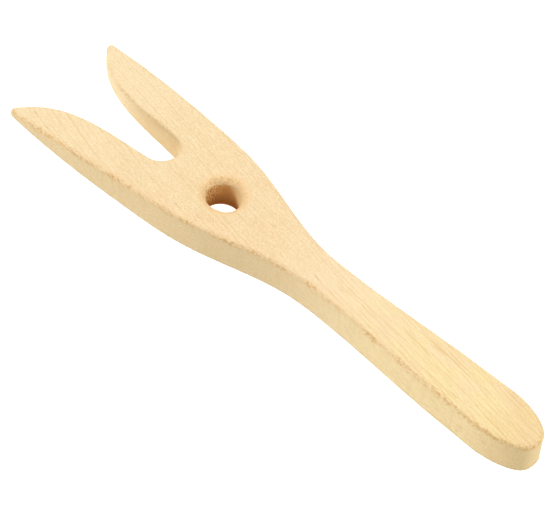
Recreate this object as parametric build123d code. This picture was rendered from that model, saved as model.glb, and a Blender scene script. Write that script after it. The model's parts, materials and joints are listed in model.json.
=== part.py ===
from build123d import *
import math
import os

# A two-pronged fork for making cord, sawn from one flat wooden board, drilled and sanded.
# Millimetres. X runs from the prong tips (-X) to the end of the handle (+X), Y across the
# fork and Z up through the board. The origin is midway along and across, on the lower face.

# The board
overall_length = 179.0
board_thickness = 10.7
edge_round = 1.0  # roundover sanded along every outer edge

# The two prongs
prong_length = 45.8  # from the tips to the bottom of the slot
tips_width = 39.4  # outside width across the tips
tip_round = 1.2  # blunt nose of each tip, seen from above
tip_cut_angle = 50.0  # degrees between a tip's inner flank and the fork's length
tip_thickness = 2.8  # left at the tips, where both faces have been thinned
thinned_length = 69.0  # how far back from the tips the thinning starts
prong_side_width = 38.3  # outside width where the prongs' sides begin to draw in
prong_side_from_tips = 21.0

# The slot between the prongs
slot_width = 10.8  # at its round bottom
slot_lean = 6.0  # degrees that each side leans outward above the round bottom
slot_middle_width = 14.6
slot_middle_from_tips = 19.0
slot_mouth_width = 22.6  # where the prongs' ends are cut back to their tips
slot_mouth_from_tips = 7.4

# The hole in the head
hole_diameter = 10.0
hole_mouth_round = 2.4
hole_from_slot = 19.4  # centre of the hole to the bottom of the slot
hole_side_shift = -0.45  # drilled a little off the centre line

# The head, neck and handle
slot_bottom_outside_width = 34.5  # outside width level with the bottom of the slot
hole_outside_width = 29.4  # outside width level with the hole
shoulder_width = 16.1
shoulder_from_neck = 17.6
neck_width = 11.9
neck_from_hole = 40.7
grip_width = 15.7
grip_from_end = 24.0
end_side_width = 14.4
end_side_from_end = 8.8
end_corner_width = 8.8
end_corner_from_end = 2.0

margin = 5.0  # how far cutting profiles reach past what they cut

tips_x = -overall_length / 2
handle_end_x = overall_length / 2
slot_bottom_x = tips_x + prong_length
hole_x = slot_bottom_x + hole_from_slot
neck_x = hole_x + neck_from_hole
thinning_x = tips_x + thinned_length


def half_outline():
    """Edges of the outline's +Y half, from the slot's bottom round to the handle's end."""
    slot_radius = slot_width / 2
    turn = math.radians(90 - slot_lean)
    slot_centre_x = slot_bottom_x - slot_radius
    slot_start = (slot_centre_x + slot_radius * math.cos(turn), slot_radius * math.sin(turn))
    slot_bottom = RadiusArc((slot_bottom_x, 0), slot_start, -slot_radius)

    cut = math.radians(tip_cut_angle)
    tip_centre = Vector(tips_x + tip_round, tips_width / 2 - tip_round)
    tip_inner = tip_centre + Vector(-math.sin(cut), -math.cos(cut)) * tip_round
    tip_outer = tip_centre + Vector(0, tip_round)
    slot_side = Spline(
        slot_start,
        (tips_x + slot_middle_from_tips, slot_middle_width / 2),
        (tips_x + slot_mouth_from_tips, slot_mouth_width / 2),
        tip_inner,
        tangents=[(-math.sin(turn), math.cos(turn)), (-math.cos(cut), math.sin(cut))],
    )
    tip_nose = ThreePointArc(tip_inner, tip_centre - Vector(tip_round, 0), tip_outer)

    outer_side = Spline(
        tip_outer,
        (tips_x + prong_side_from_tips, prong_side_width / 2),
        (slot_bottom_x, slot_bottom_outside_width / 2),
        (hole_x, hole_outside_width / 2),
        (neck_x - shoulder_from_neck, shoulder_width / 2),
        (neck_x, neck_width / 2),
        tangents=[(1, 0), (1, 0)],
    )
    grip = (handle_end_x - grip_from_end, grip_width / 2)
    handle_side = Spline((neck_x, neck_width / 2), grip, tangents=[(1, 0), (1, 0)])
    handle_end = Spline(
        grip,
        (handle_end_x - end_side_from_end, end_side_width / 2),
        (handle_end_x - end_corner_from_end, end_corner_width / 2),
        (handle_end_x, 0),
        tangents=[(1, 0), (0, -1)],
    )
    return [slot_bottom, slot_side, tip_nose, outer_side, handle_side, handle_end]


def sawn_board():
    """The flat outline at the board's full thickness."""
    upper = half_outline()
    lower = [edge.mirror(Plane.XZ) for edge in upper]
    return extrude(make_face(upper + lower), board_thickness)


def side_profile():
    """The side view: parallel faces that curve together toward the prong tips."""
    rise = (board_thickness - tip_thickness) / 2
    curve_radius = (thinned_length**2 + rise**2) / (2 * rise)
    reach = thinned_length + margin
    lift = curve_radius - math.sqrt(curve_radius**2 - reach**2)
    front_x = tips_x - margin
    back_x = handle_end_x + margin
    lower_curve = TangentArc((thinning_x, 0), (front_x, lift), tangent=(-1, 0))
    upper_curve = TangentArc(
        (thinning_x, board_thickness), (front_x, board_thickness - lift), tangent=(-1, 0)
    )
    front = Line((front_x, lift), (front_x, board_thickness - lift))
    upper = Line((thinning_x, board_thickness), (back_x, board_thickness))
    back = Line((back_x, board_thickness), (back_x, 0))
    lower = Line((back_x, 0), (thinning_x, 0))
    outline = make_face([lower_curve, front, upper_curve, upper, back, lower])
    return extrude(Plane.XZ * outline, tips_width, both=True)


def fork():
    """The finished fork: thinned, rounded along its edges, then drilled."""
    body = sawn_board() & side_profile()
    rims = body.edges().filter_by(Axis.Z, reverse=True).filter_by(Axis.Y, reverse=True)
    body = fillet(rims, edge_round)
    drill = Pos(hole_x, hole_side_shift, board_thickness / 2) * Cylinder(
        hole_diameter / 2, board_thickness + 2 * margin
    )
    known = body.edges()
    body = body - drill
    mouths = (body.edges() - known).filter_by(
        lambda edge: edge.length > hole_diameter and edge.bounding_box().size.Z < 1
    )
    return fillet(mouths, hole_mouth_round)


os.makedirs("parts", exist_ok=True)
export_step(fork(), "parts/fork_body.step")
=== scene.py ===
import json
import math
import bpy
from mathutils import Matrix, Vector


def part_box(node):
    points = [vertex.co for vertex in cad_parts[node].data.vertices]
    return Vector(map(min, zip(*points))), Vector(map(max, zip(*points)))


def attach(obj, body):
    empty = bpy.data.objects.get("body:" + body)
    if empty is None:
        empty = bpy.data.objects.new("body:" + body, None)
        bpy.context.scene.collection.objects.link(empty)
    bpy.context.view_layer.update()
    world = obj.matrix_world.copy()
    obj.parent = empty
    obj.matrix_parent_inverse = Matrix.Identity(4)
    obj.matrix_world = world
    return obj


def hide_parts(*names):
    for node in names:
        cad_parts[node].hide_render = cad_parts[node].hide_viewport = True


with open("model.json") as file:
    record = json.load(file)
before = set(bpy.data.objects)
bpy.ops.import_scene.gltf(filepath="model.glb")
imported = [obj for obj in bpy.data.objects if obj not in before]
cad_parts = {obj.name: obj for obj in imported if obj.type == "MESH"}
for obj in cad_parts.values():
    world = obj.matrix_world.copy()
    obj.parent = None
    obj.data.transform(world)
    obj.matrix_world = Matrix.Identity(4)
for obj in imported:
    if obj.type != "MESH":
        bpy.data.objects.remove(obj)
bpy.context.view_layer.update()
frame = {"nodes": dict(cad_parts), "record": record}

from types import SimpleNamespace

import bmesh
import bpy
from mathutils import Matrix, Vector

mm = 0.001  # Blender works in metres, and the sizes below read better in millimetres

low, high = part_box("fork_body")
holeMount = next(m for m in frame["record"]["mounts"] if m["name"] == "cord_hole")
holeCentre = Vector(holeMount["pos_m"])
holeRadius = holeMount["dims"]["r_mm"] * mm
boardThickness = high.z - low.z
print("frame loaded, fork is", [round(v / mm, 1) for v in high - low], "mm")


# node trees

class Wire:  # one output socket, so that node maths reads as ordinary expressions
    def __init__(self, tree, socket):
        self.tree = tree
        self.socket = socket

    def out(self, name):  # another output of the same node
        return Wire(self.tree, self.socket.node.outputs[name])

    def __add__(self, other):
        return self.tree.math("ADD", self, other)

    def __sub__(self, other):
        return self.tree.math("SUBTRACT", self, other)

    def __rsub__(self, other):
        return self.tree.math("SUBTRACT", other, self)

    def __mul__(self, other):
        return self.tree.math("MULTIPLY", self, other)

    def __truediv__(self, other):
        return self.tree.math("DIVIDE", self, other)

    def __rtruediv__(self, other):
        return self.tree.math("DIVIDE", other, self)

    __radd__ = __add__
    __rmul__ = __mul__

    def sin(self):
        return self.tree.math("SINE", self)

    def abs(self):
        return self.tree.math("ABSOLUTE", self)

    def fract(self):
        return self.tree.math("FRACT", self)

    def root(self):
        return self.tree.math("SQRT", self)

    def atLeast(self, other):
        return self.tree.math("MAXIMUM", self, other)

    def ramp(self, start, end):  # 0 at start, 1 at end, eased, and either way round
        settings = {"interpolation_type": "SMOOTHSTEP"}
        values = {"Value": self, "From Min": start, "From Max": end}
        return self.tree.add("ShaderNodeMapRange", settings, values)

    def scaled(self, by):  # a vector times a number or a vector
        if isinstance(by, tuple):
            return self.tree.vectorMath("MULTIPLY", [self, by])
        return self.tree.vectorMath("SCALE", {0: self, "Scale": by})

    def moved(self, by):  # a vector plus a vector
        return self.tree.vectorMath("ADD", [self, by])

    def length(self):
        return self.tree.vectorMath("LENGTH", [self])

    def dot(self, other):
        return self.tree.vectorMath("DOT_PRODUCT", [self, other])

    def parts(self):  # a vector's three numbers
        x = self.tree.add("ShaderNodeSeparateXYZ", {}, [self])
        return x, x.out("Y"), x.out("Z")


class Tree:  # builds a shader tree or a geometry tree
    def __init__(self, nodeTree):
        self.nodeTree = nodeTree

    def add(self, kind, settings, values):  # values go in by place from a list, or else by name
        node = self.nodeTree.nodes.new(kind)
        for name, value in settings.items():
            setattr(node, name, value)
        pairs = enumerate(values) if isinstance(values, list) else values.items()
        for key, value in pairs:
            socket = node.inputs[key] if isinstance(key, int) else self.openInput(node, key)
            if isinstance(value, Wire):
                self.nodeTree.links.new(value.socket, socket)
            else:
                socket.default_value = value
        shown = [s for s in node.outputs if s.enabled]
        return Wire(self, shown[0]) if shown else node

    def openInput(self, node, name):  # mix nodes have several inputs of one name, and one of them is in use
        return next(s for s in node.inputs if s.name == name and s.enabled)

    def math(self, operation, *values):
        return self.add("ShaderNodeMath", {"operation": operation}, list(values))

    def vectorMath(self, operation, values):
        return self.add("ShaderNodeVectorMath", {"operation": operation}, values)

    def vector(self, x, y, z):
        return self.add("ShaderNodeCombineXYZ", {}, [x, y, z])

    def noise(self, vector, scale, detail, roughness=0.5):
        values = {"Vector": vector, "Scale": scale, "Detail": detail, "Roughness": roughness}
        return self.add("ShaderNodeTexNoise", {}, values)

    def blend(self, amount, first, second):  # two colours
        settings = {"data_type": "RGBA", "blend_type": "MIX"}
        values = {"Factor": amount, "A": opaque(first), "B": opaque(second)}
        return self.add("ShaderNodeMix", settings, values)

    def spread(self, value, passes, kind="FLOAT"):  # evens a value out over a mesh
        values = {"Value": value, "Iterations": passes}
        return self.add("GeometryNodeBlurAttribute", {"data_type": kind}, values)

    def push(self, geometry, offset):
        return self.add("GeometryNodeSetPosition", {}, {"Geometry": geometry, "Offset": offset})

    def store(self, geometry, name, value):
        settings = {"data_type": "FLOAT", "domain": "POINT"}
        values = {"Geometry": geometry, "Name": name, "Value": value}
        return self.add("GeometryNodeStoreNamedAttribute", settings, values)


def opaque(colour):
    return (*colour, 1) if isinstance(colour, tuple) else colour


def newMaterial(name):
    material = bpy.data.materials.new(name)
    material.use_nodes = True
    material.node_tree.nodes.clear()
    return material, Tree(material.node_tree)


socketKinds = {
    float: "NodeSocketFloat",
    int: "NodeSocketInt",
    Vector: "NodeSocketVector",
    bpy.types.Material: "NodeSocketMaterial",
}


def geometryTree(name, inputs):  # inputs: label -> value, which also tells its socket's kind
    nodeTree = bpy.data.node_groups.new(name, "GeometryNodeTree")
    face = nodeTree.interface
    face.new_socket(name="Geometry", in_out="INPUT", socket_type="NodeSocketGeometry")
    for label, value in inputs.items():
        socket = face.new_socket(name=label, in_out="INPUT", socket_type=socketKinds[type(value)])
        socket.default_value = value
    face.new_socket(name="Geometry", in_out="OUTPUT", socket_type="NodeSocketGeometry")
    tree = Tree(nodeTree)
    start = tree.add("NodeGroupInput", {}, {})
    return tree, {label: start.out(label) for label in ["Geometry", *inputs]}


def endTree(tree, geometry, material):  # every tree ends the same way
    real = tree.add("GeometryNodeRealizeInstances", {}, [geometry])
    painted = tree.add("GeometryNodeSetMaterial", {}, {"Geometry": real, "Material": material})
    tree.add("NodeGroupOutput", {}, [painted])


def linkedObject(name, data):
    piece = bpy.data.objects.new(name, data)
    bpy.context.scene.collection.objects.link(piece)
    return piece


def evaluatedMesh(piece):  # what a piece's modifiers make of it, as a plain mesh
    graph = bpy.context.evaluated_depsgraph_get()
    return bpy.data.meshes.new_from_object(piece.evaluated_get(graph), depsgraph=graph)


def runTree(tree, blank, inputs, name):  # puts the tree on a mesh, and gives back its result as a new piece
    modifier = blank.modifiers.new(name, "NODES")
    modifier.node_group = tree.nodeTree
    for socket in tree.nodeTree.interface.items_tree:
        if socket.in_out == "INPUT" and socket.name in inputs:
            modifier[socket.identifier] = inputs[socket.name]
    made = evaluatedMesh(blank)
    blank.modifiers.remove(modifier)
    return linkedObject(name, made)


# the wood
wood = {
    "creamTone": (0.958, 0.820, 0.570),  # the prongs
    "pinkTone": (0.962, 0.775, 0.540),  # a warmer band across the head and neck
    "strawTone": (0.962, 0.820, 0.465),  # the handle
    "lateTone": (0.74, 0.49, 0.21),  # the thin dark edge of each growth ring
    "fibreTone": (0.70, 0.46, 0.18),
    "stripeTone": (0.78, 0.52, 0.21),
    "poreTone": (0.52, 0.30, 0.11),
    "sawnTone": (0.825, 0.690, 0.435),  # the cut edges, darker and greener than the planed faces: partly their own tone, partly painted shade
    "sawnStraw": (0.93, 0.775, 0.455),  # the same along the handle
    "sawMark": (0.72, 0.54, 0.29),
    "endTone": (0.71, 0.615, 0.365),  # end grain
    "slotPaintedLight": (0.93, 0.775, 0.50),  # the slot's wall: painted light high up, painted shade low down
    "slotPaintedShade": (0.58, 0.475, 0.30),
    "warmTone": (0.90, 0.665, 0.38),  # rubbed arrises
    "wornTone": (0.60, 0.315, 0.07),  # bruised and handled ones
    "paintedUnderShade": (0.50, 0.42, 0.26),  # painted shade along the lower arris, next to the table
    "paleBore": (0.77, 0.56, 0.29),  # the hole's wall where the painted shadow and scorch leave it pale
    "upperBoreScorchAndShade": (0.76, 0.42, 0.15),  # scorch with painted shade, darker further in
    "lowerBore": (0.22, 0.066, 0.005),
    "tornBore": (0.27, 0.11, 0.02),
    "mouthTone": (0.89, 0.605, 0.305),  # the hole's rounded mouth

    # how much of each tint shows, from 0 to 1
    "ringDepth": 0.34,
    "streakDepth": 0.36,
    "fibreDepth": 0.31,
    "mottleDepth": 0.28,
    "gritDepth": 0.36,
    "poreDepth": 0.50,
    "sawnDepth": 0.85,
    "sawMarkDepth": 0.22,
    "endDepth": 0.75,
    "rubbedEndDepth": 0.27,
    "slotDepth": 0.55,
    "slotTipPaintedLightDepth": 0.88,
    "nearArrisDepth": 0.28,
    "paintedUnderShadeDepth": 0.8,
    "tornDepth": 0.8,
    "mouthDepth": 0.64,

    "grainTurn": -8.0,  # degrees that the grain runs across the board
    "grainTilt": 1.6,  # degrees that it dives through the board
    "pithAside": -95.0,  # mm from the board's middle to the tree's centre
    "pithBelow": -70.0,
    "ringPitch": 0.95,
    "ringDrift": 5.0,  # mm that a ring wanders along the board
    "ringRipple": 0.7,
    "poreCells": (0.14, 1.2, 1.2),  # pores per mm along, across and through the grain
    "poreSway": (0.0, 0.5, 0.5),  # mm that they stray from straight rows
    "patchReach": 45.0,  # mm that the ends of the tinted zones wander
    "scorchAndShadowSide": 165.0,  # degrees from +X to the side of the hole with the most painted shadow and scorch
    "tornSide": 198.0,  # and to the side where the drill tore the fibres
    "goldenSide": 129.0,  # and to the side where the rounded mouth is most golden
    "goldenRim": (9.2, 7.4),  # mm from the hole's centre, where that gold begins and is full
    "scorchAndShadeReach": (1.5, 9.4),  # mm into the hole, where its painted shade and scorch begin and are darkest
    "roughness": 0.66,
    "specular": 0.14,
    "refraction": 1.45,
    "bumpDepth": 0.07,  # mm

    # mm along the fork from its middle, where each zone begins and where it is full
    "zones": {
        "behindTips": (-88.0, -78.0),
        "prongEnds": (-60.0, -75.0),
        "prongs": (-45.0, -68.0),
        "bruisedProngs": (-40.0, -62.0),
        "deepSlot": (-66.0, -54.0),
        "slot": (-42.0, -44.0),
        "headStart": (-66.0, -30.0),
        "headEnd": (52.0, 8.0),
        "lessSanded": (25.0, -5.0),
        "handle": (12.0, 48.0),
        "handleEnd": (70.0, 85.0),
    },
    "slotSides": (16.0, 15.0),  # mm to each side of the fork's middle line
    "farProng": (2.0, 8.0),  # mm to its +Y side
    "slotWallTop": (4.5, 9.0),  # mm above the fork's lower face
    "slotWallFoot": (7.0, 0.8),

    # features per mm along, across and through, detail, roughness, then where it begins and is full
    "layers": {
        "drift": ((0.011, 0.035, 0.035), 2.0, 0.5),
        "ripple": ((0.05, 0.35, 0.35), 2.0, 0.5),
        "cloud": ((0.03, 0.10, 0.10), 2.0, 0.5, 0.36, 0.66),
        "streaks": ((0.055, 1.05, 1.05), 3.0, 0.6, 0.52, 0.80),
        "stripes": ((0.045, 1.7, 1.7), 2.0, 0.5, 0.56, 0.72),
        "fibres": ((0.17, 3.4, 3.4), 2.0, 0.6, 0.36, 0.70),
        "mottle": ((1.2, 3.8, 3.8), 2.0, 0.6, 0.36, 0.68),
        "grit": ((3.3, 4.4, 4.4), 1.0, 0.5, 0.30, 0.70),
        "wander": ((0.2, 0.9, 0.9), 1.0, 0.5),
        "speck": ((0.8, 1.9, 1.9), 3.0, 0.7),
        "patch": ((0.03, 0.06, 0.06), 2.0, 0.5),
        "blush": ((0.09, 0.16, 0.16), 2.0, 0.5, 0.34, 0.66),
        "sawMarks": ((1.5, 1.5, 0.16), 2.0, 0.6, 0.44, 0.70),
        "rubbed": (0.22, 2.0, 0.6, 0.36, 0.62),
        "bruised": (0.13, 2.0, 0.6, 0.36, 0.56),
        "scatter": (1.7, 3.0, 0.6, 0.53, 0.66),
        "raised": (1.7, 3.0, 0.65, 0.49, 0.62),
        "shreds": ((2.4, 2.4, 1.32), 2.0, 0.55),
        "ribs": ((1.9, 1.9, 0.684), 2.0, 0.6),
    },
}


def layer(tree, name, place):  # one layer of noise, eased between its two ends where it has them
    size, detail, roughness, *ends = wood["layers"][name]
    noise = tree.noise(place.scaled(size), 1.0, detail, roughness)
    return noise.ramp(*ends) if ends else noise


def woodSpot(tree):  # where a spot of the wood lies, and what it lies on
    masks = ("arris", "nearArris", "grime", "under", "sawn", "endGrain", "bore", "mouth")
    spot = SimpleNamespace(**{
        name: tree.add("ShaderNodeAttribute", {"attribute_name": name}, {}).out("Fac") for name in masks
    })
    spot.place = tree.add("ShaderNodeTexCoord", {}, {}).out("Object").scaled(1 / mm)
    turn = (0.0, math.radians(wood["grainTilt"]), math.radians(wood["grainTurn"]))
    values = {"Vector": spot.place, "Rotation": turn}
    spot.grain = tree.add("ShaderNodeMapping", {"vector_type": "TEXTURE"}, values)
    spot.speck = layer(tree, "speck", spot.grain)

    zones = wood["zones"]
    lengthwise, sideways, upward = spot.place.parts()
    patch = (layer(tree, "patch", spot.place) - 0.5) * wood["patchReach"]
    wandering = lengthwise + patch
    spot.zone = {name: lengthwise.ramp(*ends) for name, ends in zones.items()}
    spot.warmBand = wandering.ramp(*zones["headStart"]) * wandering.ramp(*zones["headEnd"])
    spot.straw = (lengthwise + patch * 0.5).ramp(*zones["handle"])
    spot.calm = 1 - spot.zone["prongs"] * sideways.ramp(*wood["farProng"]) * 0.45
    spot.wallTop = upward.ramp(*wood["slotWallTop"])
    spot.wallFoot = upward.ramp(*wood["slotWallFoot"])
    spot.inSlot = spot.zone["slot"] * sideways.abs().ramp(*wood["slotSides"])
    spot.wornArris = spot.arris * (1 - spot.inSlot * 0.85)
    return spot


def growthRings(tree, grain):  # rings about a pith that lies outside the board
    along, across, through = grain.parts()
    drift = (layer(tree, "drift", grain) - 0.5) * wood["ringDrift"]
    ripple = (layer(tree, "ripple", grain) - 0.5) * wood["ringRipple"]
    fromPith = tree.vector(0.0, across - wood["pithAside"], through - wood["pithBelow"])
    growth = (fromPith.length() + drift + ripple) / wood["ringPitch"]
    ringPart = growth.fract()
    ringNumber = growth - ringPart
    lateLine = ringPart.ramp(0.30, 0.90) * ringPart.ramp(1.0, 0.92)
    weight = tree.noise(tree.vector(ringNumber, 0.0, along * 0.012), 1.7, 1.0).ramp(0.35, 0.75)
    return lateLine * (0.15 + 0.85 * weight)


def openPores(tree, grain):  # vessels cut open as short dark dashes
    wander = layer(tree, "wander", grain).out("Color")
    swayed = grain.moved(wander.scaled(wood["poreSway"]))
    values = {"Vector": swayed.scaled(wood["poreCells"]), "Scale": 1.0}
    cells = tree.add("ShaderNodeTexVoronoi", {}, values)
    chosen = cells.out("Color").parts()[0].ramp(0.62, 0.78)
    return cells.ramp(0.24, 0.06) * chosen


def boardFigure(tree, grain):  # what the tree's growth and the plane leave in the wood, each from 0 to 1
    clouded = 0.3 + 0.7 * layer(tree, "cloud", grain)
    return SimpleNamespace(
        rings=growthRings(tree, grain),
        streaks=layer(tree, "streaks", grain) * clouded,
        stripes=layer(tree, "stripes", grain),
        fibres=layer(tree, "fibres", grain),
        mottle=layer(tree, "mottle", grain),
        grit=layer(tree, "grit", grain),
        pores=openPores(tree, grain) * clouded,
    )


def faceTones(tree, spot, figure):  # planed faces, sawn edges, end grain, and the slot's wall with its painted light and shade
    blush = layer(tree, "blush", spot.place)
    sawMarks = layer(tree, "sawMarks", spot.place)
    warmth = spot.warmBand * (0.30 + 0.70 * blush) + spot.straw * blush * 0.6
    rings = figure.rings * (1 + spot.zone["prongs"] * 0.7) * spot.calm
    sawnTone = tree.blend(spot.straw, wood["sawnTone"], wood["sawnStraw"])
    rubbedEnd = spot.straw * spot.zone["handleEnd"]
    slotWall = spot.inSlot * spot.sawn
    lowWall = spot.wallFoot * (0.50 + 0.30 * spot.zone["deepSlot"])
    # painted light on the slot's wall toward the prong ends
    slotTipPaintedLight = spot.inSlot * spot.sawn.ramp(0.0, 0.35) * spot.zone["prongEnds"]

    colour = tree.blend(spot.straw, wood["creamTone"], wood["strawTone"])
    colour = tree.blend(warmth, colour, wood["pinkTone"])
    colour = tree.blend(rings * wood["ringDepth"], colour, wood["lateTone"])
    # the sawn edges' tone, partly painted shade
    colour = tree.blend(spot.sawn * wood["sawnDepth"], colour, sawnTone)
    colour = tree.blend(sawMarks * spot.sawn * wood["sawMarkDepth"], colour, wood["sawMark"])
    colour = tree.blend(spot.endGrain * wood["endDepth"], colour, wood["endTone"])
    colour = tree.blend(rubbedEnd * wood["rubbedEndDepth"], colour, wood["lateTone"])
    # painted light high on the slot's wall, painted shade low down
    colour = tree.blend(slotWall * spot.wallTop * wood["slotDepth"], colour, wood["slotPaintedLight"])
    colour = tree.blend(slotWall * lowWall, colour, wood["slotPaintedShade"])
    return tree.blend(slotTipPaintedLight * wood["slotTipPaintedLightDepth"], colour, wood["creamTone"])


def figuredTones(tree, spot, figure, colour):  # streaks, fibres and pores over those tones
    stripes = figure.stripes * (0.12 + 0.50 * spot.straw) * (1 - spot.sawn)
    fibres = figure.fibres * (0.80 + 0.25 * spot.straw) * spot.calm
    rawness = 0.78 + 0.55 * spot.zone["lessSanded"]
    mottle = figure.mottle * rawness * (1 - spot.zone["prongs"] * 0.4)
    colour = tree.blend(figure.streaks * spot.calm * wood["streakDepth"], colour, wood["fibreTone"])
    colour = tree.blend(stripes, colour, wood["stripeTone"])
    colour = tree.blend(fibres * wood["fibreDepth"], colour, wood["fibreTone"])
    colour = tree.blend(mottle * wood["mottleDepth"], colour, wood["fibreTone"])
    colour = tree.blend(figure.grit * rawness * wood["gritDepth"], colour, wood["fibreTone"])
    return tree.blend(figure.pores * wood["poreDepth"], colour, wood["poreTone"])


def arrisTones(tree, spot, colour):  # warm where they were rubbed, brown where they were bruised, and painted shade along the lower arris
    rubbed = layer(tree, "rubbed", spot.place)
    oftenBruised = spot.zone["bruisedProngs"] * spot.zone["behindTips"] * 0.5
    bruised = layer(tree, "bruised", spot.place) + oftenBruised
    scatter = layer(tree, "scatter", spot.place)
    besideArris = spot.nearArris * (1 - spot.arris) * (1 - spot.sawn)
    scuffs = spot.wornArris * spot.speck.ramp(0.44, 0.60) * (0.20 + 0.80 * bruised)
    grime = spot.grime * (0.10 + 0.50 * spot.speck.ramp(0.42, 0.60))
    flecks = spot.nearArris * scatter * (0.08 + 0.34 * bruised + 0.30 * spot.straw)
    colour = tree.blend(besideArris * wood["nearArrisDepth"], colour, wood["warmTone"])
    colour = tree.blend(spot.wornArris * (0.30 + 0.50 * rubbed), colour, wood["warmTone"])
    colour = tree.blend(scuffs, colour, wood["wornTone"])
    colour = tree.blend(grime, colour, wood["wornTone"])
    colour = tree.blend(flecks, colour, wood["wornTone"])
    # painted shade along the lower arris, next to the table
    return tree.blend(spot.under * wood["paintedUnderShadeDepth"], colour, wood["paintedUnderShade"])


def holeTones(tree, spot, colour):  # the wall, scorched and with painted shade and a painted shadow, torn down one side, then its rounded mouth
    holeX, holeY, holeZ = spot.place.moved(holeCentre * (-1 / mm)).parts()
    depth = boardThickness / mm / 2 - holeZ

    def toward(side):  # 1 on the hole's wall in that direction, -1 on the wall opposite
        turned = math.radians(side)
        return (holeX * math.cos(turned) + holeY * math.sin(turned)) / (holeRadius / mm)

    facing = toward(wood["scorchAndShadowSide"])
    tornSide = toward(wood["tornSide"]).ramp(0.52, 0.92)
    ribs = layer(tree, "ribs", tree.vector(holeX, holeY, holeZ))
    shreds = layer(tree, "shreds", spot.place)
    raised = layer(tree, "raised", spot.place)
    # scorch with painted shade, darker further in, and a painted shadow across one side of the wall
    deep = (depth + (ribs - 0.5) * 2.0).ramp(*wood["scorchAndShadeReach"])
    shadowAndScorch = (facing + depth * 0.123 + (ribs - 0.5) * 0.35).ramp(0.50, 1.08)
    darkShreds = shreds.ramp(0.47, 0.59) * tornSide * wood["tornDepth"]
    paleShreds = shreds.ramp(0.48, 0.36) * tornSide * (1 - deep) * 0.55
    boreTone = tree.blend(deep, wood["upperBoreScorchAndShade"], wood["lowerBore"])
    boreTone = tree.blend(ribs.ramp(0.54, 0.36) * 0.22, boreTone, wood["lowerBore"])
    boreTone = tree.blend(darkShreds, boreTone, wood["tornBore"])
    boreTone = tree.blend(paleShreds, boreTone, wood["paleBore"])
    colour = tree.blend(spot.bore, colour, tree.blend(shadowAndScorch, wood["paleBore"], boreTone))

    fuzz = spot.bore * (1 - spot.bore) * 4 * facing.ramp(-0.1, 0.6)  # most where the bore meets its mouth
    golden = tree.vector(holeX, holeY, 0.0).length().ramp(*wood["goldenRim"])
    golden = golden * (1 - spot.bore) * toward(wood["goldenSide"]).ramp(0.3, 1.3)
    flecks = spot.mouth * raised * (0.12 + 0.33 * facing.ramp(0.0, 0.9))
    colour = tree.blend(fuzz * (0.10 + 0.55 * raised), colour, wood["tornBore"])
    colour = tree.blend(spot.mouth * wood["mouthDepth"], colour, wood["mouthTone"])
    colour = tree.blend(golden * (0.24 + 0.26 * raised), colour, wood["mouthTone"])
    colour = tree.blend(flecks, colour, wood["wornTone"])
    relief = spot.bore * (ribs + shreds * tornSide * 1.4) - spot.mouth * raised * 0.6
    return colour, relief


def bareHardwood():
    material, tree = newMaterial("bareHardwood")
    spot = woodSpot(tree)
    figure = boardFigure(tree, spot.grain)
    colour = faceTones(tree, spot, figure)
    colour = figuredTones(tree, spot, figure, colour)
    colour = arrisTones(tree, spot, colour)
    colour, holeRelief = holeTones(tree, spot, colour)

    roughness = wood["roughness"] + 0.10 * figure.fibres + 0.10 * figure.pores
    roughness = roughness - 0.08 * spot.wornArris + 0.2 * spot.bore
    height = figure.rings * -0.2 - figure.streaks * 0.3 - figure.fibres * 0.4
    height = height - figure.mottle * 0.35 - figure.pores * 0.8
    height = height + holeRelief - spot.wornArris * spot.speck * 0.4
    relief = {"Height": height, "Strength": 1.0, "Distance": wood["bumpDepth"] * mm}
    shader = tree.add("ShaderNodeBsdfPrincipled", {}, {
        "Base Color": colour,
        "Roughness": roughness,
        "Normal": tree.add("ShaderNodeBump", {}, relief),
        "IOR": wood["refraction"],
        "Specular IOR Level": wood["specular"],
    })
    tree.add("ShaderNodeOutputMaterial", {}, {"Surface": shader})
    return material


# the fork
forkBody = {
    "meshSize": 0.42,  # mm, the grid that the sanded skin is built on
    "mergeDistance": 0.002,
    "holeCuts": 1,  # how often each side of that grid is cut again around the hole
    "holeCutReach": 1.2,  # mm past the hole's wall
    "faceWave": 0.04,  # mm that the hand-sanded faces rise and fall
    "faceWaveLength": 18.0,
    "sanding": 9,  # passes of smoothing over the top arris
    "sandingLength": 15.0,  # mm between the places that were sanded hardest
    "crispEdge": 0.55,  # mm taken off the roundover's radius where it was left alone
    "crispMouth": 1.15,  # the same for the hole's mouth, on its crisp side
    "crispSide": 240.0,  # degrees from +X to that side
    "slotEnd": -42.0,  # mm along the fork, a little past the slot's round bottom
    "slotReach": 14.5,  # mm to each side, so that the slot's own arrises lie inside it
    "nickDepth": 0.05,
    "nickLength": 1.7,
    "endDrop": 0.8,  # mm that the top face falls at the end of the handle
    "endDropLength": 13.0,
    "ribDepth": 0.13,  # torn end grain inside the hole
    "ribWidth": 0.55,
    "ringDepth": 0.03,  # the thread that the drill's lips cut
    "ringPitch": 0.8,
    "mouthReach": 2.7,  # mm from the hole's wall to the outer rim of its rounded mouth
    "seed": 4,
}


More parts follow.
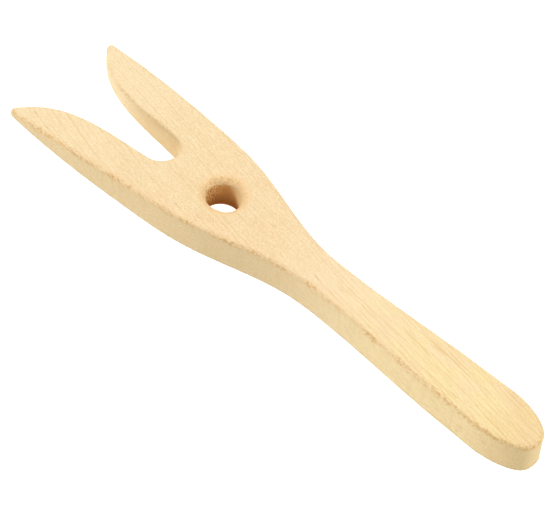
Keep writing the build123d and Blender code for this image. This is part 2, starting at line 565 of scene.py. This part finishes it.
def blankFromFrame():  # a clean copy of the CAD solid's skin, on an even grid that can be shaped
    mesh = frame["nodes"]["fork_body"].data.copy()
    shape = bmesh.new()
    shape.from_mesh(mesh)
    bmesh.ops.remove_doubles(shape, verts=shape.verts, dist=forkBody["mergeDistance"] * mm)
    shape.to_mesh(mesh)
    shape.free()
    mesh.materials.clear()
    rough = linkedObject("roughFork", mesh)
    remesh = rough.modifiers.new("evenSkin", "REMESH")
    remesh.mode = "VOXEL"
    remesh.voxel_size = forkBody["meshSize"] * mm
    even = evaluatedMesh(rough)
    bpy.data.objects.remove(rough)

    shape = bmesh.new()
    shape.from_mesh(even)
    reach = holeRadius + forkBody["holeCutReach"] * mm
    near = {f for f in shape.faces if (f.calc_center_median() - holeCentre).to_2d().length < reach}
    edges = [e for e in shape.edges if near.intersection(e.link_faces)]
    cuts = forkBody["holeCuts"]
    bmesh.ops.subdivide_edges(shape, edges=edges, cuts=cuts, use_grid_fill=True, smooth=0.0)
    shape.to_mesh(even)
    shape.free()
    return linkedObject("forkBlank", even)


def shapingInputs(material):  # the shaping tree's named inputs, in metres
    side = math.radians(forkBody["crispSide"])
    return {
        "Material": material,
        "Thickness": boardThickness,
        "Handle End": high.x,
        "Tips": low.x,
        "Hole Centre": holeCentre,
        "Hole Radius": holeRadius,
        "Mouth Reach": forkBody["mouthReach"] * mm,
        "Face Wave": forkBody["faceWave"] * mm,
        "Face Wave Length": forkBody["faceWaveLength"] * mm,
        "Sanding": forkBody["sanding"],
        "Sanding Length": forkBody["sandingLength"] * mm,
        "Crisp Edge": forkBody["crispEdge"] * mm,
        "Crisp Mouth": forkBody["crispMouth"] * mm,
        "Crisp Side": Vector((math.cos(side), math.sin(side), 0)),
        "Slot End": forkBody["slotEnd"] * mm,
        "Slot Reach": forkBody["slotReach"] * mm,
        "Nick Depth": forkBody["nickDepth"] * mm,
        "Nick Length": forkBody["nickLength"] * mm,
        "End Drop": forkBody["endDrop"] * mm,
        "End Drop Length": forkBody["endDropLength"] * mm,
        "Rib Depth": forkBody["ribDepth"] * mm,
        "Rib Width": forkBody["ribWidth"] * mm,
        "Ring Depth": forkBody["ringDepth"] * mm,
        "Ring Pitch": forkBody["ringPitch"] * mm,
        "Seed": forkBody["seed"],
    }


def seeded(tree, given, vector, size, aside):  # noise with features of that size
    spot = vector.moved(tree.vector(given["Seed"] * aside, aside, given["Seed"] * 0.37))
    return tree.noise(spot, 1 / size, 2.0)


def loweredEnd(tree, given):  # the top face rubbed down toward the handle's end
    x, y, z = tree.add("GeometryNodeInputPosition", {}, {}).parts()
    fromEnd = (x - (given["Handle End"] - given["End Drop Length"])) / given["End Drop Length"]
    rise = fromEnd.atLeast(0.0)
    drop = rise * rise * given["End Drop"] * (z / given["Thickness"])
    return tree.push(given["Geometry"], tree.vector(0.0, 0.0, 0.0 - drop))


def forkPoint(tree, given):  # what a point is on: a planed face, a sawn edge, their arris, or the hole
    at = SimpleNamespace()
    at.place = tree.add("GeometryNodeInputPosition", {}, {})
    at.normal = tree.add("GeometryNodeInputNormal", {}, {})
    at.slopeX, at.slopeY, at.slopeZ = at.normal.parts()
    at.upright = at.slopeZ.abs()
    placeX, placeY, placeZ = at.place.parts()
    at.height = placeZ / given["Thickness"]
    at.upperHalf = at.height.ramp(0.5, 0.8)
    at.lowerHalf = at.height.ramp(0.5, 0.2)

    at.fromHole = at.place.moved(given["Hole Centre"].scaled(-1.0))
    at.holeX, at.holeY, at.holeZ = at.fromHole.parts()
    at.holeDistance = tree.vector(at.holeX, at.holeY, 0.0).length()
    depthIn = (at.holeDistance - given["Hole Radius"]) / given["Mouth Reach"]
    at.outside = depthIn.ramp(0.85, 1.25)
    at.bore = depthIn.ramp(0.20, 0.03) * at.upright.ramp(0.65, 0.25)
    at.mouth = (1 - at.outside) * depthIn.ramp(1.1, 0.5) * (1 - at.bore)
    at.sawn = at.upright.ramp(0.72, 0.30) * at.outside
    at.arris = tree.spread(at.upright.ramp(0.02, 0.35) * at.upright.ramp(0.98, 0.60) * at.outside, 4)

    at.slow = seeded(tree, given, at.place, given["Sanding Length"], 7.7).ramp(0.25, 0.60)
    at.nearEnd = ((given["Handle End"] - placeX) / given["End Drop Length"]).ramp(2.2, 0.6)
    at.nearTips = ((placeX - given["Tips"]) / given["End Drop Length"]).ramp(0.7, 0.0)
    slotLength = ((given["Slot End"] - placeX) / mm).ramp(0.0, 2.0)
    at.inSlot = slotLength * ((given["Slot Reach"] - placeY.abs()) / mm).ramp(-1.0, 0.5)
    return at


def sandedOff(tree, given, at):  # smoothing of the top arris, least in the slot and at the handle's end
    reach = tree.spread(at.upright.ramp(0.0, 0.25) * at.upright.ramp(1.0, 0.90) * at.outside, 4)
    soft = reach * at.height.ramp(0.3, 0.8) * (0.15 + 0.75 * at.slow)
    soft = soft * (1 - at.nearEnd) * (1 - at.nearTips * 0.7)
    soft = soft * (1 - at.inSlot * 0.8) + reach * 0.10
    evened = tree.spread(at.place, given["Sanding"], "FLOAT_VECTOR")
    return evened.moved(at.place.scaled(-1.0)).scaled(soft)


def crispened(tree, given, at):  # a smaller roundover lies outside a larger one, most at the corner's middle
    corner = tree.spread(at.upright + (1 - at.upright * at.upright).root() - 1, 1)
    crispTop = at.nearEnd.atLeast(at.inSlot * 0.9) * at.upperHalf
    crispArris = at.outside * (at.lowerHalf * (0.3 + 0.7 * at.nearEnd) + crispTop)
    facing = (at.fromHole.dot(given["Crisp Side"]) / at.holeDistance).ramp(-0.1, 0.9)
    crispMouth = (1 - at.outside) * (facing * at.height.ramp(0.4, 0.7) + at.lowerHalf * 0.4)
    return corner * (crispArris * given["Crisp Edge"] + crispMouth * given["Crisp Mouth"])


def tornWall(tree, given, at):  # ribs, deepest where the drill met end grain, and the thread its lips cut
    column = tree.vector(at.holeX, at.holeY, at.holeZ * 0.3)
    ribs = (seeded(tree, given, column, given["Rib Width"], 2.3) - 0.5) * 2 * given["Rib Depth"]
    endGrain = at.slopeX.abs().ramp(0.15, 0.75)
    turns = tree.math("ARCTAN2", at.holeY, at.holeX)
    thread = (at.holeZ / given["Ring Pitch"] * math.tau + turns).sin() * given["Ring Depth"]
    return at.bore * (ribs * (0.35 + 0.65 * endGrain) + thread)


def woodMasks(tree, at):  # what the wood's shader has to know about each point
    lit = at.slopeY.ramp(0.45, -0.30)  # the side that was handled more
    grime = at.arris * at.nearEnd * at.height.ramp(0.7, 0.9)
    grime = grime * at.upright.ramp(0.10, 0.30) * at.upright.ramp(0.85, 0.5)
    return {
        "arris": at.arris * (0.45 + 0.55 * at.height) * (0.25 + 0.75 * lit),
        "nearArris": tree.spread(at.arris * at.upperHalf, 14).ramp(0.03, 0.30) * lit,
        "grime": grime * (0.3 + 0.7 * lit),
        # where the lower arris gets its painted shade
        "under": at.slopeZ.ramp(0.0, -0.35) * at.slopeZ.ramp(-0.97, -0.85) * at.outside,
        "sawn": at.sawn,
        "endGrain": at.sawn * at.slopeX.abs().ramp(0.30, 0.90),
        "bore": at.bore,
        "mouth": at.mouth,
    }


def shapingTree(inputs):
    tree, given = geometryTree("handSanding", inputs)
    at = forkPoint(tree, given)
    sanded = tree.push(loweredEnd(tree, given), sandedOff(tree, given, at))
    wave = (seeded(tree, given, at.place, given["Face Wave Length"], 3.1) - 0.5) * 2 * given["Face Wave"]
    nicks = seeded(tree, given, at.place, given["Nick Length"], 5.3).ramp(0.56, 0.74) * at.slow
    outward = wave * at.outside + crispened(tree, given, at)  # how far each point moves along its normal
    outward = outward - at.arris * nicks * given["Nick Depth"] + tornWall(tree, given, at)
    shaped = tree.push(sanded, at.normal.scaled(outward))
    for name, mask in woodMasks(tree, at).items():
        shaped = tree.store(shaped, name, mask)
    smooth = tree.add("GeometryNodeSetShadeSmooth", {}, {"Geometry": shaped, "Shade Smooth": True})
    endTree(tree, smooth, given["Material"])
    return tree


def makeFork(material):
    blank = blankFromFrame()
    print("fork blank has", len(blank.data.polygons), "faces")
    inputs = shapingInputs(material)
    fork = runTree(shapingTree(inputs), blank, inputs, "carvedFork")
    bpy.data.objects.remove(blank)
    print("fork sanded")
    return fork


# table, light and camera
studio = {
    "tableSize": 30.0,
    "tableTone": (0.18, 0.18, 0.18),
    "tableRoughness": 0.8,
    "tableSpecular": 0.2,
    "tableGlow": 1.33,
    "white": (1.0, 1.0, 1.0),
    "skyLight": 0.05,
    "softBoxDistance": 1.5,
    "softBoxWidth": 0.7,
    "softBoxes": {  # name -> (degrees from +X, degrees up, watts)
        "leftSoftBox": (209.0, 36.0, 13.5),
        "rightSoftBox": (35.0, 36.0, 12.2),
        "topSoftBox": (0.0, 90.0, 11.2),
    },
    "cameraAzimuth": 39.35,
    "cameraElevation": 49.2,
    "cameraRoll": 6.54,
    "cameraDistance": 0.7915,
    "cameraLens": 189.6,
    "cameraSensor": 36.0,
    "cameraAim": (-0.00523, 0.00156, 0.0),
}


def makeTable():
    half = studio["tableSize"] / 2
    mesh = bpy.data.meshes.new("lightTable")
    corners = [(-half, -half, 0), (half, -half, 0), (half, half, 0), (-half, half, 0)]
    mesh.from_pydata(corners, [], [(0, 1, 2, 3)])
    material, tree = newMaterial("whiteTable")
    shader = tree.add("ShaderNodeBsdfPrincipled", {}, {
        "Base Color": opaque(studio["tableTone"]),
        "Roughness": studio["tableRoughness"],
        "Specular IOR Level": studio["tableSpecular"],
        "Emission Color": opaque(studio["white"]),
        "Emission Strength": studio["tableGlow"],
    })
    tree.add("ShaderNodeOutputMaterial", {}, {"Surface": shader})
    mesh.materials.append(material)
    return linkedObject("lightTable", mesh)


def makeLights():
    world = bpy.data.worlds.new("studioAir")
    world.use_nodes = True
    back = world.node_tree.nodes["Background"]
    back.inputs["Color"].default_value = opaque(studio["white"])
    back.inputs["Strength"].default_value = studio["skyLight"]
    bpy.context.scene.world = world
    for name, (azimuth, elevation, watts) in studio["softBoxes"].items():
        light = bpy.data.lights.new(name, "AREA")
        light.energy = watts
        light.size = studio["softBoxWidth"]
        turn, rise = math.radians(azimuth), math.radians(elevation)
        away = Vector((math.cos(turn) * math.cos(rise), math.sin(turn) * math.cos(rise), math.sin(rise)))
        box = linkedObject(name, light)
        box.location = away * studio["softBoxDistance"]
        box.rotation_euler = away.to_track_quat("Z", "Y").to_euler()


def makeCamera():
    turn = math.radians(studio["cameraAzimuth"])
    rise = math.radians(studio["cameraElevation"])
    roll = math.radians(studio["cameraRoll"])
    right = Vector((math.cos(turn), math.sin(turn), 0))
    back = Vector((math.sin(turn) * math.cos(rise), -math.cos(turn) * math.cos(rise), math.sin(rise)))
    up = back.cross(right)
    right, up = (
        math.cos(roll) * right + math.sin(roll) * up,
        math.cos(roll) * up - math.sin(roll) * right,
    )
    lens = bpy.data.cameras.new("camera")
    lens.lens = studio["cameraLens"]
    lens.sensor_width = studio["cameraSensor"]
    camera = linkedObject("camera", lens)
    spot = Vector(studio["cameraAim"]) + back * studio["cameraDistance"]
    camera.matrix_world = Matrix((
        (right.x, up.x, back.x, spot.x),
        (right.y, up.y, back.y, spot.y),
        (right.z, up.z, back.z, spot.z),
        (0, 0, 0, 1),
    ))
    bpy.context.scene.camera = camera


fork = makeFork(bareHardwood())
table = makeTable()
makeLights()
makeCamera()
bpy.context.scene.view_settings.view_transform = "Standard"
print("studio ready")

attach(fork, "root")
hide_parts("fork_body")
